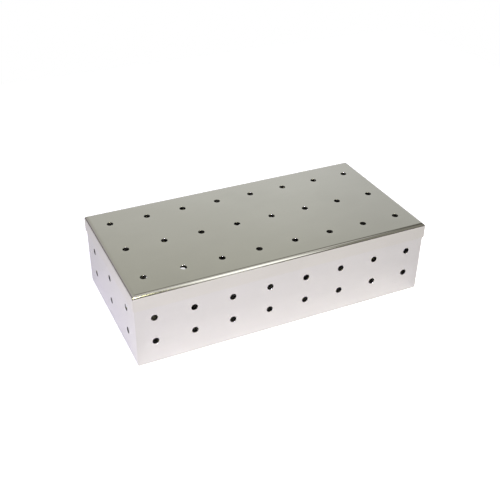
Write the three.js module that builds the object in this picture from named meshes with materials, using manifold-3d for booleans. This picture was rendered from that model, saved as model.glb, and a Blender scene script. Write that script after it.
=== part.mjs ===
// A perforated sheet steel instrument case: an open tray and a shallow lid that lifts straight off it.
// Each piece is one blank of thin stainless sheet, punched with round holes and folded up on four sides.
// Millimetres. +X runs along the length, +Y towards the back and +Z up.
// The origin is the middle of the tray's underside, on the surface that the case stands on.

import * as THREE from "three";
import { mergeVertices } from "three/addons/utils/BufferGeometryUtils.js";
import Module from "manifold-3d";

const wasm = await Module();
wasm.setup();

// Overall sizes
const caseLength = 200; // along X, outside the lid
const caseWidth = 100; // along Y, outside the lid
const trayHeight = 50; // underside of the tray to its rim
const skirtDepth = 10.5; // top of the lid to the lower edge of its skirt

// Sheet and folds
const sheet = 0.5; // thickness of both blanks
const trayBendRadius = 2; // outer radius of the folds along the tray's bottom edges
const lidBendRadius = 2.3; // outer radius of the folds along the lid's top edges
const skirtCornerRadius = 1.2; // rounding of each skirt's lower corners, a small nick below each seam

// How the lid sits on the tray
const sideClearance = 0.15; // between the skirt and the tray's wall, on every side
const seatClearance = 0.15; // between the rim and the lid's folds, which ride on it

// Perforation
const holeDiameter = 4;
const holesAlong = 8; // in each row along the length, on the lid, the floor and the long walls
const rowsAcross = 3; // rows across the lid, and holes in each row on the short walls
const rowsAcrossFloor = 4; // rows across the tray's floor
const rowsUp = 2; // rows up every wall
const rowsAcrossShare = 0.33; // spacing of the lid's rows, as a share of the case's width
const rowsFloorShare = 0.25; // spacing of the floor's rows, as a share of the case's width
const rowsUpShare = 0.34; // spacing of the rows up a wall, as a share of the tray's height

// Facets of the round stretches
const bendCurveSegments = 3; // three.js draws an arc with twice as many straight steps
const holeSides = 16;
const cutOverrun = 1; // how far every cutting solid runs past what it cuts

// Sizes that follow
const lidOverhang = sheet + sideClearance; // how far the lid stands proud of the tray on each side
const trayLength = caseLength - 2 * lidOverhang;
const trayWidth = caseWidth - 2 * lidOverhang;
const holePitchAlong = caseLength / holesAlong;
const holePitchAcross = caseWidth * rowsAcrossShare;
const holePitchFloor = caseWidth * rowsFloorShare;
const holePitchUp = trayHeight * rowsUpShare;

// The rim's outer edge meets the hollow of the lid's folds before it reaches the lid's flat underside.
const lidInnerRadius = Math.max(lidBendRadius - sheet, 0);
const rimReach = Math.max(lidInnerRadius - sideClearance, 0);
const rimToUnderside = lidInnerRadius - Math.sqrt(lidInnerRadius ** 2 - rimReach ** 2) + seatClearance;
const closedHeight = trayHeight + rimToUnderside + sheet;

// Finish: bright rolled stainless steel. The lid's top is seen against a darker surround than the walls.
const traySteel = new THREE.MeshStandardMaterial({
  name: "bright_steel_walls",
  color: 0xd9d4d1,
  metalness: 1,
  roughness: 0.22,
  flatShading: true,
});
const lidSteel = new THREE.MeshStandardMaterial({
  name: "bright_steel_lid",
  color: 0xa8a89c,
  metalness: 1,
  roughness: 0.25,
  flatShading: true,
});

/** Makes a closed three.js geometry into a solid that can be joined and cut. */
function toSolid(geometry) {
  geometry.deleteAttribute("normal");
  geometry.deleteAttribute("uv");
  const merged = mergeVertices(geometry);
  return new wasm.Manifold(
    new wasm.Mesh({
      numProp: 3,
      vertProperties: merged.attributes.position.array,
      triVerts: Uint32Array.from(merged.index.array),
    }),
  );
}

/** Makes a solid into a geometry that three.js can draw. */
function toGeometry(solid) {
  const mesh = solid.getMesh();
  const geometry = new THREE.BufferGeometry();
  geometry.setAttribute("position", new THREE.BufferAttribute(mesh.vertProperties, mesh.numProp));
  geometry.setIndex(new THREE.BufferAttribute(mesh.triVerts, 1));
  geometry.computeVertexNormals();
  return geometry;
}

/** The outline of a pan seen end on: flat on top, with its two lower corners rounded. */
function panOutline(width, floorZ, topZ, bendRadius) {
  const half = width / 2;
  const outline = new THREE.Shape();
  outline.moveTo(-half, topZ);
  if (bendRadius > 0) {
    outline.lineTo(-half, floorZ + bendRadius);
    outline.absarc(-half + bendRadius, floorZ + bendRadius, bendRadius, Math.PI, 1.5 * Math.PI, false);
    outline.absarc(half - bendRadius, floorZ + bendRadius, bendRadius, 1.5 * Math.PI, 2 * Math.PI, false);
  } else {
    outline.lineTo(-half, floorZ);
    outline.lineTo(half, floorZ);
  }
  outline.lineTo(half, topZ);
  return outline;
}

/** A long bar of the given outline, centred on the origin, along Y, or along X if turned is true. */
function outlineBar(outline, length, turned) {
  const bar = new THREE.ExtrudeGeometry(outline, {
    depth: length,
    bevelEnabled: false,
    curveSegments: bendCurveSegments,
  });
  bar.translate(0, 0, -length / 2);
  bar.rotateX(Math.PI / 2);
  if (turned) {
    bar.rotateZ(Math.PI / 2);
  }
  return toSolid(bar);
}

/** A block with sharp upright corners and rounded bottom edges, which meet in a mitre at each corner. */
function mitredBlock(length, width, floorZ, topZ, bendRadius) {
  const alongY = outlineBar(panOutline(length, floorZ, topZ, bendRadius), width, false);
  const alongX = outlineBar(panOutline(width, floorZ, topZ, bendRadius), length, true);
  return alongY.intersect(alongX);
}

/** An open pan folded from sheet: a floor at height zero and four walls that rise from its folds. */
function foldedPan(length, width, height, bendRadius) {
  const outside = mitredBlock(length, width, 0, height, bendRadius);
  const inside = mitredBlock(
    length - 2 * sheet,
    width - 2 * sheet,
    sheet,
    height + cutOverrun,
    Math.max(bendRadius - sheet, 0),
  );
  return outside.subtract(inside);
}

/** The places of a centred row of things. */
function centredRow(count, pitch) {
  return Array.from({ length: count }, (_, index) => (index - (count - 1) / 2) * pitch);
}

/** A punch: a round bar of the holes' diameter, centred on the origin, along Z. */
function punch(length) {
  const bar = new THREE.CylinderGeometry(holeDiameter / 2, holeDiameter / 2, length, holeSides);
  bar.rotateX(Math.PI / 2);
  return bar;
}

/** Punches rows of holes through a pan's floor. */
function punchFloor(pan, rows, pitch) {
  let punched = pan;
  for (const x of centredRow(holesAlong, holePitchAlong)) {
    for (const y of centredRow(rows, pitch)) {
      const tool = punch(sheet + 2 * cutOverrun);
      tool.translate(x, y, sheet / 2);
      punched = punched.subtract(toSolid(tool));
    }
  }
  return punched;
}

/** Punches the rows of holes through a pan's four walls, straight across to the wall opposite. */
function punchWalls(pan, length, width, height) {
  let punched = pan;
  for (const row of centredRow(rowsUp, holePitchUp)) {
    const z = height / 2 + row;
    for (const x of centredRow(holesAlong, holePitchAlong)) {
      const tool = punch(width + 2 * cutOverrun);
      tool.rotateX(Math.PI / 2);
      tool.translate(x, 0, z);
      punched = punched.subtract(toSolid(tool));
    }
    for (const y of centredRow(rowsAcross, holePitchAcross)) {
      const tool = punch(length + 2 * cutOverrun);
      tool.rotateY(Math.PI / 2);
      tool.translate(0, y, z);
      punched = punched.subtract(toSolid(tool));
    }
  }
  return punched;
}

/** The scrap off one corner at a wall's free edge: a square less a quarter circle. End is 1 or -1. */
function cornerScrap(end, wallWidth, radius) {
  const side = (end * wallWidth) / 2;
  const shoulder = side - end * radius;
  const outer = side + end * cutOverrun;
  const scrap = new THREE.Shape();
  scrap.moveTo(side, -radius);
  scrap.lineTo(outer, -radius);
  scrap.lineTo(outer, cutOverrun);
  scrap.lineTo(shoulder, cutOverrun);
  scrap.lineTo(shoulder, 0);
  scrap.absarc(shoulder, -radius, radius, 0.5 * Math.PI, end > 0 ? 0 : Math.PI, end > 0);
  return scrap;
}

/** Rounds off both corners at the free edge of each of a pan's four walls. */
function roundFreeCorners(pan, length, width, height, radius) {
  if (radius <= 0) {
    return pan;
  }
  let rounded = pan;
  for (const quarter of [0, 1, 2, 3]) {
    const [wallWidth, span] = quarter % 2 === 0 ? [length, width] : [width, length];
    const outlines = [-1, 1].map((end) => cornerScrap(end, wallWidth, radius));
    const scraps = new THREE.ExtrudeGeometry(outlines, {
      depth: lidOverhang + cutOverrun,
      bevelEnabled: false,
      curveSegments: bendCurveSegments,
    });
    scraps.rotateX(Math.PI / 2);
    scraps.translate(0, lidOverhang - span / 2, height);
    scraps.rotateZ((quarter * Math.PI) / 2);
    rounded = rounded.subtract(toSolid(scraps));
  }
  return rounded;
}

/** A named piece with its own material. */
function piece(name, solid, material) {
  const mesh = new THREE.Mesh(toGeometry(solid), material);
  mesh.name = name;
  return mesh;
}

/** The open tray, punched in its floor and its four walls. */
function makeTray() {
  const pan = foldedPan(trayLength, trayWidth, trayHeight, trayBendRadius);
  const floored = punchFloor(pan, rowsAcrossFloor, holePitchFloor);
  const punched = punchWalls(floored, trayLength, trayWidth, trayHeight);
  return piece("tray", punched, traySteel);
}

/** The lid: a shallow pan turned over, punched in its top only. */
function makeLid() {
  const pan = foldedPan(caseLength, caseWidth, skirtDepth, lidBendRadius);
  const nicked = roundFreeCorners(pan, caseLength, caseWidth, skirtDepth, skirtCornerRadius);
  const lid = piece("lid", punchFloor(nicked, rowsAcross, holePitchAcross), lidSteel);
  lid.rotation.x = Math.PI;
  lid.position.z = closedHeight;
  return lid;
}

const instrumentCase = new THREE.Group();
instrumentCase.name = "instrument_case";
instrumentCase.add(makeTray(), makeLid());

export default instrumentCase;
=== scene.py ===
"""A perforated sheet steel instrument case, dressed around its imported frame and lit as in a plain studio.

The case is two folded pans: the tray, and the lid that lifts straight off it. Each pan is developed as one flat blank,
whose perforated panels come from Geometry Nodes, and is then folded up along its four bends. Metres throughout.
"""

import logging
import math
from dataclasses import dataclass, field
from enum import Enum
from typing import Optional, Sequence, Union

import bmesh
import bpy
import numpy as np
from mathutils import Matrix, Vector


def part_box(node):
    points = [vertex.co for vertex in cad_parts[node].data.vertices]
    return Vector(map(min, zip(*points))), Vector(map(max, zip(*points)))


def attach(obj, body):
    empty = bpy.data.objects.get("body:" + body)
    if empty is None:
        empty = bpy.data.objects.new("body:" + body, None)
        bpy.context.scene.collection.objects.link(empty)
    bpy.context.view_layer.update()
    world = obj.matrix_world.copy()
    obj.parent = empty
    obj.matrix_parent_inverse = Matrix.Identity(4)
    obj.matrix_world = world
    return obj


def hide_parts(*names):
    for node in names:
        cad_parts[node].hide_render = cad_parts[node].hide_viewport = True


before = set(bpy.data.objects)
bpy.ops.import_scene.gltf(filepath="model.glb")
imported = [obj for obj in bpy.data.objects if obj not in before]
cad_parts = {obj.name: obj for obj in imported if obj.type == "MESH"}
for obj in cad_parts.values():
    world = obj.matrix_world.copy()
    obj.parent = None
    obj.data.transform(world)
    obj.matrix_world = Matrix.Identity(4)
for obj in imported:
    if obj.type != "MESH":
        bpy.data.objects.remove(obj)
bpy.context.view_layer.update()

LOG = logging.getLogger("instrument_case")

Array = np.ndarray
Value = Union[float, int, Sequence[float], bpy.types.NodeSocket]

MM = 0.001
WELD_DISTANCE = 0.0015 * MM  # points closer than this are one point
BLANK_MAP = "blank"  # the UV map that holds a point's place on the flat blank, in metres
WEAR = "edge_wear"  # the attribute that is 1 on folds, rims and the lips of holes, and 0 on flat sheet
INSIDE = "inside"  # the attribute that is 0 on a pan's outer face, 1 on its inner face and 2 on its holes' cut walls


class Side(Enum):
    """The four walls of a pan, by the number of quarter turns from the front wall."""

    FRONT = 0
    RIGHT = 1
    BACK = 2
    LEFT = 3

    @property
    def is_long(self) -> bool:
        """Whether the wall runs along the case's length."""
        return self in (Side.FRONT, Side.BACK)

    def turned(self, x: Array, y: Array) -> tuple[Array, Array]:
        """Turns places at the front wall round to this wall.

        Args:
            x: Places along the front wall.
            y: Places across it.

        Returns:
            The same places at this wall, as x and y.
        """
        for _ in range(self.value):
            x, y = -y, x
        return x, y


class Facing(Enum):
    """Which way a pan's opening faces."""

    UP = 1
    DOWN = -1


class NodeWriter:
    """Adds nodes to one node tree and joins their sockets."""

    def __init__(self, tree: bpy.types.NodeTree) -> None:
        """Starts on a tree.

        Args:
            tree: The shader or geometry node tree to write in.
        """
        self.tree = tree

    def add(self, kind: str, inputs: Optional[dict[Union[str, int], Value]] = None,
            **settings: object) -> bpy.types.Node:
        """Adds a node.

        Args:
            kind: The node's type name.
            inputs: Values or sockets for the node's inputs, by name or number.
            **settings: The node's own properties.

        Returns:
            The new node.
        """
        node = self.tree.nodes.new(kind)
        for name, setting in settings.items():
            setattr(node, name, setting)
        for name, value in (inputs or {}).items():
            self.feed(node.inputs[name], value)
        return node

    def feed(self, socket: bpy.types.NodeSocket, value: Value) -> None:
        """Joins a socket to an input, or sets the input's own value.

        Args:
            socket: The input to feed.
            value: A socket to join, or a plain value.
        """
        if isinstance(value, bpy.types.NodeSocket):
            self.tree.links.new(value, socket)
        else:
            socket.default_value = value

    def maths(self, operation: str, *values: Value, clamp: bool = False) -> bpy.types.NodeSocket:
        """Adds a Math node.

        Args:
            operation: The node's operation.
            *values: One value or socket for each of its inputs.
            clamp: Whether the result is held between 0 and 1.

        Returns:
            The node's result.
        """
        node = self.add("ShaderNodeMath", dict(enumerate(values)), operation=operation, use_clamp=clamp)
        return node.outputs[0]

    def ramp(self, value: Value, low: Value, high: Value, to_low: Value = 0.0,
             to_high: Value = 1.0) -> bpy.types.NodeSocket:
        """Adds a clamped, smooth Map Range node.

        Args:
            value: What is mapped.
            low: The value that becomes to_low.
            high: The value that becomes to_high.
            to_low: The result at and below low.
            to_high: The result at and above high.

        Returns:
            The mapped value.
        """
        node = self.add("ShaderNodeMapRange", dict(enumerate((value, low, high, to_low, to_high))))
        node.interpolation_type = "SMOOTHSTEP"
        return node.outputs[0]

    def blend(self, share: Value, first: Value, second: Value) -> bpy.types.NodeSocket:
        """Adds a Mix node for colours.

        Args:
            share: How much of the second colour there is.
            first: The colour where share is 0.
            second: The colour where share is 1.

        Returns:
            The mixed colour.
        """
        mixed = self.add("ShaderNodeMix", {0: share}, data_type="RGBA")
        self.feed(mixed.inputs[6], first)
        self.feed(mixed.inputs[7], second)
        return mixed.outputs[2]


@dataclass
class Patch:
    """A stretch of sheet surface as plain arrays, before it is welded to its neighbours.

    Attributes:
        points: Each point's x, y and z.
        blank: Each point's place on the flat blank.
        wear: Each point's edge wear.
        inside: Each point's inside value.
        faces: The four points of each face, by number.
    """

    points: Array
    blank: Array
    wear: Array
    inside: Array
    faces: Array

    @staticmethod
    def from_rows(points: Array, blank: Array, wear: Array, inside: Array, kept: Optional[Array] = None) -> "Patch":
        """Makes a patch of quads from rows of points.

        Args:
            points: Rows by columns by 3.
            blank: Rows by columns by 2, the places on the flat blank.
            wear: Rows by columns.
            inside: Rows by columns.
            kept: Which quads are made, one fewer each way. All are, if it is left out.

        Returns:
            The patch.
        """
        rows, columns = wear.shape
        index = np.arange(rows * columns).reshape(rows, columns)
        faces = np.stack([index[:-1, :-1], index[:-1, 1:], index[1:, 1:], index[1:, :-1]], -1)
        chosen = faces.reshape(-1, 4) if kept is None else faces[kept]
        return Patch(points.reshape(-1, 3), blank.reshape(-1, 2), wear.ravel(), inside.ravel(), chosen)


@dataclass(frozen=True)
class Row:
    """A row of holes.

    Attributes:
        count: How many holes it has.
        pitch: How far apart their middles are.
    """

    count: int
    pitch: float

    @property
    def reach(self) -> float:
        """Half the length of the row's cells of sheet."""
        return self.count * self.pitch / 2

    def lines(self, steps: int) -> Array:
        """The places of evenly spaced lines along the row, with a number of steps to each cell."""
        return np.linspace(-self.reach, self.reach, self.count * steps + 1)


@dataclass(frozen=True)
class Perforation:
    """Round holes punched through the sheet on a rectangular grid.

    The punch draws the sheet in a little around each hole and leaves its two edges softly rounded.

    Attributes:
        diameter: The holes' diameter, inside their rounded edges.
        edge_radius: The radius of those edges.
        dish: How far the sheet is drawn in at a hole.
        steps_around: How many steps a hole has round it.
        rings: How many rings of faces lie between a hole and the edge of its rectangle of sheet.
    """

    diameter: float = 4.2 * MM
    edge_radius: float = 0.05 * MM
    dish: float = 0.015 * MM
    steps_around: int = 48
    rings: int = 6

    @property
    def steps_per_side(self) -> int:
        """How many steps each side of a hole's rectangle of sheet has."""
        return self.steps_around // 4


class PanelTree:
    """The Geometry Nodes tree that lays out one flat perforated panel, with both faces of the sheet.

    Each hole has a rectangle of sheet around it. One such cell is drawn and repeated on a grid of points.
    """

    INPUTS = (
        ("Columns", "NodeSocketInt"),
        ("Rows", "NodeSocketInt"),
        ("Cell Length", "NodeSocketFloat"),
        ("Cell Width", "NodeSocketFloat"),
        ("Hole Diameter", "NodeSocketFloat"),
        ("Edge Radius", "NodeSocketFloat"),
        ("Dish", "NodeSocketFloat"),
        ("Sheet", "NodeSocketFloat"),
        ("Steps Around", "NodeSocketInt"),
        ("Rings", "NodeSocketInt"),
        ("Finish", "NodeSocketMaterial"),
    )
    LIP_STEPS = 9  # three round the outer edge, three through the sheet and three round the inner edge
    CROWDING = 1.7  # how much closer together the rings are beside the hole
    FADING = 3.0  # how soon the dish and the edge wear fade outwards
    CUT = 2.0  # the inside value of the holes' cut walls, where the inner face's is 1
    CUT_FROM, CUT_TO = 0.1, 0.95  # the shares of the sheet's thickness between which a point is on a cut wall

    def __init__(self) -> None:
        """Builds the tree."""
        self.tree = bpy.data.node_groups.new("perforated_panel", "GeometryNodeTree")
        self.identifiers: dict[str, str] = {}
        for name, kind in self.INPUTS:
            socket = self.tree.interface.new_socket(name, in_out="INPUT", socket_type=kind)
            self.identifiers[name] = socket.identifier
        self.tree.interface.new_socket("Panel", in_out="OUTPUT", socket_type="NodeSocketGeometry")
        self.write = NodeWriter(self.tree)
        self.given = self.tree.nodes.new("NodeGroupInput").outputs
        self._build()

    def _round_about(self) -> tuple[bpy.types.NodeSocket, ...]:
        """Reads a unit grid as a strip around the hole.

        Returns:
            The share of the way out, the unit circle's x and y, and the unit square's x and y.
        """
        w = self.write
        place = w.add("GeometryNodeInputPosition").outputs[0]
        split = w.add("ShaderNodeSeparateXYZ", {0: place}).outputs
        turn, out = split[0], w.maths("ADD", split[1], 0.5)
        angle = w.maths("MULTIPLY", turn, 2 * math.pi)
        circle = [w.maths(name, angle) for name in ("COSINE", "SINE")]
        # A wave between 2 and -2, cut off at 1 and -1, goes round a square as a cosine or sine goes round a circle.
        square = []
        for offset in (0.0, 0.25):
            wave = w.maths("PINGPONG", w.maths("SUBTRACT", turn, offset), 0.5)
            slope = w.maths("MULTIPLY_ADD", wave, -8.0, 2.0)
            square.append(w.maths("MAXIMUM", w.maths("MINIMUM", slope, 1.0), -1.0))
        return (out, *circle, *square)

    def _strip(self, steps_out: Value, x: Value, y: Value, z: Value, wear: Value) -> bpy.types.NodeSocket:
        """Bends a unit grid into a strip around the hole.

        Args:
            steps_out: How many steps the strip has outwards.
            x: Each point's x.
            y: Each point's y.
            z: Each point's z.
            wear: Each point's edge wear.

        Returns:
            The strip's geometry.
        """
        w = self.write
        around = w.maths("ADD", self.given["Steps Around"], 1)
        outward = w.maths("ADD", steps_out, 1)
        sizes = {"Size X": 1.0, "Size Y": 1.0, "Vertices X": around, "Vertices Y": outward}
        grid = w.add("GeometryNodeMeshGrid", sizes).outputs["Mesh"]
        stored = {"Geometry": grid, "Name": WEAR, "Value": wear}
        worn = w.add("GeometryNodeStoreNamedAttribute", stored, data_type="FLOAT", domain="POINT").outputs[0]
        place = w.add("ShaderNodeCombineXYZ", {0: x, 1: y, 2: z}).outputs[0]
        return w.add("GeometryNodeSetPosition", {"Geometry": worn, "Position": place}).outputs[0]

    def _skin(self) -> bpy.types.NodeSocket:
        """Draws one face of the sheet, from the lip of the hole out to the cell's rectangle.

        Returns:
            The face's geometry.
        """
        w, given = self.write, self.given
        out, circle_x, circle_y, square_x, square_y = self._round_about()
        lip = w.maths("MULTIPLY_ADD", given["Hole Diameter"], 0.5, given["Edge Radius"])
        share = w.maths("POWER", out, self.CROWDING)
        near = w.maths("SUBTRACT", 1.0, share)
        axes = []
        for circle, square, size in ((circle_x, square_x, "Cell Length"), (circle_y, square_y, "Cell Width")):
            inner = w.maths("MULTIPLY", w.maths("MULTIPLY", circle, lip), near)
            outer = w.maths("MULTIPLY", w.maths("MULTIPLY", square, given[size]), w.maths("MULTIPLY", share, 0.5))
            axes.append(w.maths("ADD", inner, outer))
        falloff = w.maths("POWER", w.maths("SUBTRACT", 1.0, out), self.FADING)
        sunk = w.maths("MULTIPLY", w.maths("MULTIPLY", falloff, given["Dish"]), -1.0)
        return self._strip(given["Rings"], axes[0], axes[1], sunk, falloff)

    def _lip(self) -> bpy.types.NodeSocket:
        """Draws the hole's wall with its two rounded edges.

        Returns:
            The wall's geometry.
        """
        w, given = self.write, self.given
        out, circle_x, circle_y, _, _ = self._round_about()
        radius, sheet = given["Edge Radius"], given["Sheet"]
        thirds = [w.maths("MULTIPLY_ADD", out, 3.0, -float(part), clamp=True) for part in range(3)]
        first, last = (w.maths("MULTIPLY", thirds[part], math.pi / 2) for part in (0, 2))
        drawn_in = w.maths("SUBTRACT", w.maths("SUBTRACT", 2.0, w.maths("SINE", first)), w.maths("COSINE", last))
        reach = w.maths("MULTIPLY_ADD", given["Hole Diameter"], 0.5, w.maths("MULTIPLY", drawn_in, radius))
        rounding = w.maths("SUBTRACT", w.maths("ADD", w.maths("SINE", last), 1.0), w.maths("COSINE", first))
        straight = w.maths("MULTIPLY_ADD", radius, -2.0, sheet)
        depth = w.maths("MULTIPLY_ADD", rounding, radius, w.maths("MULTIPLY", straight, thirds[1]))
        drop = w.maths("SUBTRACT", w.maths("MULTIPLY", given["Dish"], -1.0), depth)
        x, y = (w.maths("MULTIPLY", axis, reach) for axis in (circle_x, circle_y))
        return self._strip(self.LIP_STEPS, x, y, drop, 1.0)

    def _build(self) -> None:
        """Joins one cell, repeats it on the grid and ends the tree."""
        w, given = self.write, self.given
        skin = self._skin()
        lower = w.maths("MULTIPLY", given["Sheet"], -1.0)
        down = w.add("ShaderNodeCombineXYZ", {2: lower}).outputs[0]
        moved = w.add("GeometryNodeTransform", {"Geometry": skin, "Translation": down}).outputs[0]
        underside = w.add("GeometryNodeFlipFaces", {"Mesh": moved}).outputs[0]
        cell = w.add("GeometryNodeJoinGeometry")
        for part in (skin, self._lip(), underside):
            self.tree.links.new(part, cell.inputs[0])
        spans = []
        for count, size in (("Columns", "Cell Length"), ("Rows", "Cell Width")):
            spans.append(w.maths("MULTIPLY", w.maths("SUBTRACT", given[count], 1.0), given[size]))
        places = w.add("GeometryNodeMeshGrid", {"Size X": spans[0], "Size Y": spans[1]})
        w.feed(places.inputs["Vertices X"], given["Columns"])
        w.feed(places.inputs["Vertices Y"], given["Rows"])
        repeated = w.add("GeometryNodeInstanceOnPoints", {"Points": places.outputs[0], "Instance": cell.outputs[0]})
        real = w.add("GeometryNodeRealizeInstances", {"Geometry": repeated.outputs[0]}).outputs[0]
        finished = w.add("GeometryNodeSetMaterial", {"Geometry": real, "Material": given["Finish"]}).outputs[0]
        end = self.tree.nodes.new("NodeGroupOutput")
        self.tree.links.new(finished, end.inputs[0])

    def panel(self, columns: int, rows: int, cell: tuple[float, float], punched: Perforation, sheet: float,
              finish: bpy.types.Material) -> Patch:
        """Runs the tree for one panel.

        Args:
            columns: Holes along the panel.
            rows: Holes across it.
            cell: The pitch along and across.
            punched: The holes' sizes.
            sheet: The sheet's thickness.
            finish: The material that the tree sets.

        Returns:
            The flat panel, centred on the origin, with its outer face at height zero and its inner face below that.
        """
        carrier = bpy.data.objects.new("panel_carrier", bpy.data.meshes.new("panel_carrier"))
        bpy.context.scene.collection.objects.link(carrier)
        modifier = carrier.modifiers.new("perforate", "NODES")
        modifier.node_group = self.tree
        values = (columns, rows, cell[0], cell[1], punched.diameter, punched.edge_radius, punched.dish, sheet,
                  punched.steps_around, punched.rings, finish)
        for (name, _), value in zip(self.INPUTS, values):
            modifier[self.identifiers[name]] = value
        made = bpy.data.meshes.new_from_object(carrier.evaluated_get(bpy.context.evaluated_depsgraph_get()))
        carrier.modifiers.remove(modifier)
        points = np.empty(len(made.vertices) * 3)
        made.vertices.foreach_get("co", points)
        wear = np.empty(len(made.vertices), np.float32)
        made.attributes[WEAR].data.foreach_get("value", wear)
        corners = np.empty(len(made.loops), np.int32)
        made.loops.foreach_get("vertex_index", corners)
        bpy.data.objects.remove(carrier)
        bpy.data.meshes.remove(made)
        points = points.reshape(-1, 3)
        inside = np.clip(-points[:, 2] / sheet, 0.0, 1.0)
        inside[(inside > self.CUT_FROM) & (inside < self.CUT_TO)] = self.CUT
        return Patch(points, points[:, :2].copy(), wear.astype(float), inside, corners.reshape(-1, 4))


def smooth_step(value: Array) -> Array:
    """Rises smoothly from 0 to 1 as value does.

    Args:
        value: What is smoothed.

    Returns:
        The smoothed value, held between 0 and 1.
    """
    held = np.clip(value, 0.0, 1.0)
    return held * held * (3 - 2 * held)


@dataclass
class Ripple:
    """The slight unevenness of a rolled and folded panel: a few long, low waves.

    Attributes:
        height: The waves' height at most.
        seed: Where the waves' lengths, directions and phases come from.
        shortest: The shortest wave.
        longest: The longest wave.
        waves: How many waves there are.
    """

    height: float
    seed: int
    shortest: float = 38 * MM
    longest: float = 110 * MM
    waves: int = 7

    def __post_init__(self) -> None:
        """Draws the waves."""
        draw = np.random.default_rng(self.seed)
        length = draw.uniform(self.shortest, self.longest, self.waves)
        angle = draw.uniform(0, math.pi, self.waves)
        self.phase = draw.uniform(0, 2 * math.pi, self.waves)
        self.wave = np.stack([np.cos(angle), np.sin(angle)], -1) * (2 * math.pi / length)[:, None]
        self.share = length / length.sum()

    def at(self, x: Array, y: Array) -> Array:
        """Finds the panel's rise at some places on it.

        Args:
            x: The places' x.
            y: The places' y.

        Returns:
            The rise at each place.
        """
        total = np.zeros(np.broadcast(x, y).shape)
        for (wave_x, wave_y), phase, share in zip(self.wave, self.phase, self.share):
            total = total + share * np.sin(x * wave_x + y * wave_y + phase)
        return total * self.height


def stretch_ends(places: Array, keep: float, reach: float, edge: Array) -> Array:
    """Stretches both ends of a row of places about zero, and leaves its middle as it is.

    Args:
        places: The places.
        keep: How far from zero nothing moves.
        reach: The distance from zero that is brought to the edge.
        edge: Where that is brought.

    Returns:
        The stretched places.
    """
    beyond = np.maximum(np.abs(places) - keep, 0.0)
    stretched = np.minimum(np.abs(places), keep) + beyond * (edge - keep) / (reach - keep)
    return np.sign(places) * stretched


@dataclass
class Line:
    """One line round a pan, at one height on its fold and one depth into its sheet.

    Attributes:
        run: The distance up the blank from where the bend starts.
        depth: The depth into the sheet from its outer face.
        margin: The width of the narrow strip beside each upright corner.
        wear: The edge wear on the line.
        beside_holes: Whether the perforated panel takes the middle of the wall here.
    """

    run: float
    depth: float
    margin: float
    wear: float = 0.0
    beside_holes: bool = False


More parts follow.
